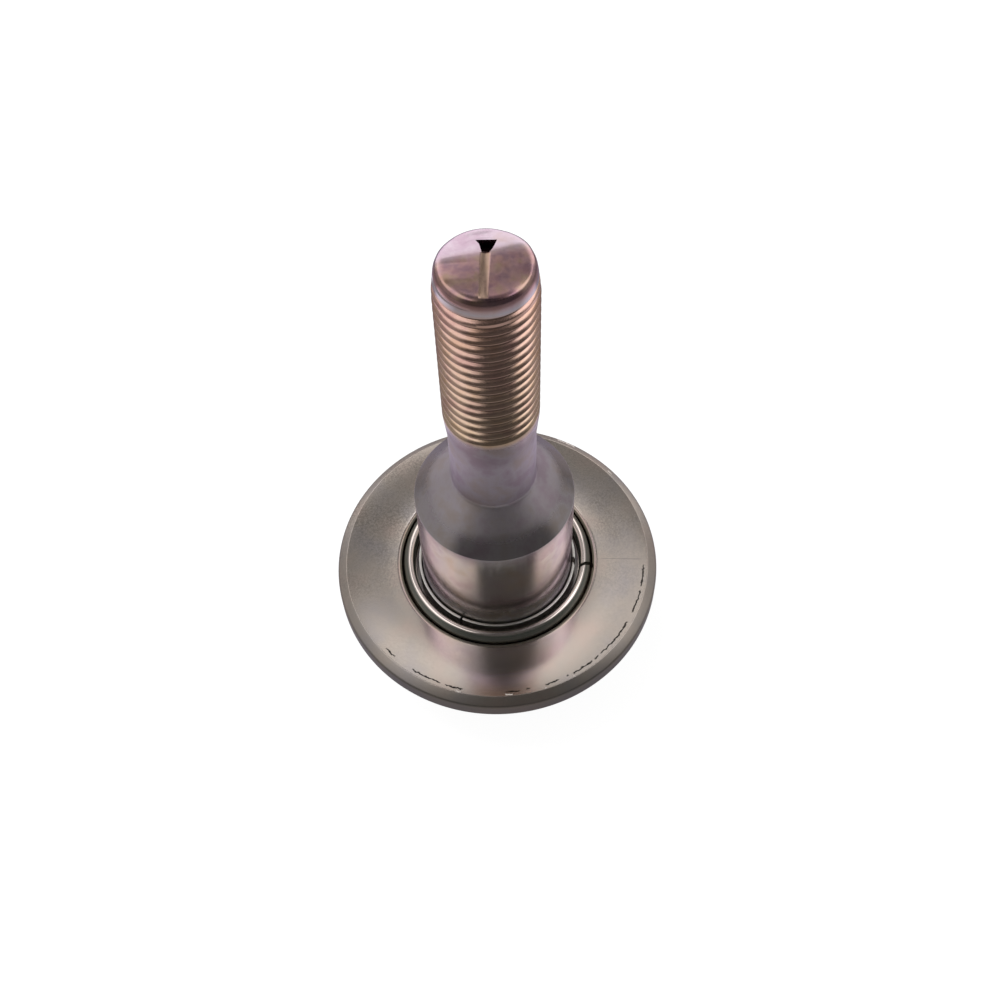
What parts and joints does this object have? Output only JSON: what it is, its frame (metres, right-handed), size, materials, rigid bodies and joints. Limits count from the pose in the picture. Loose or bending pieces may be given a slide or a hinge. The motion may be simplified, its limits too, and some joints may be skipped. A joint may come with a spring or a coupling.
{
  "type": "oil cooler bolt",
  "caption": "Shouldered steel bolt with a rolled thread and hexagon head, and a thick captive disc that turns on a split bush under a split lock ring.",
  "frame": {"origin": "centre of the hexagon head's end face, on which the bolt stands", "axes": "+Z along the bolt from the head to the threaded tip; +X square to two of the flats, to the right of the picture's view; -Y towards the picture's camera"},
  "size_m": [0.0464, 0.0464, 0.0785],
  "materials": {
    "passivated_zinc_bolt": "iridescent passivated zinc plating on forged steel",
    "passivated_zinc_disc": "iridescent passivated zinc plating, finely speckled, scuffed at the rim",
    "bright_spring_strip": "bright plated spring strip",
    "bright_ring_wire": "bright plated spring wire"
  },
  "bodies": {
    "bolt": {"bolt": "passivated_zinc_bolt", "split_bush": "bright_spring_strip", "lock_ring": "bright_ring_wire"},
    "disc": {"captive_disc": "passivated_zinc_disc"}
  },
  "joints": [
    {"name": "disc_turn", "type": "hinge", "parent": "bolt", "child": "disc", "pos_m": [0, 0, 0.0115], "axis": [0, 0, 1], "continuous": true}
  ]
}
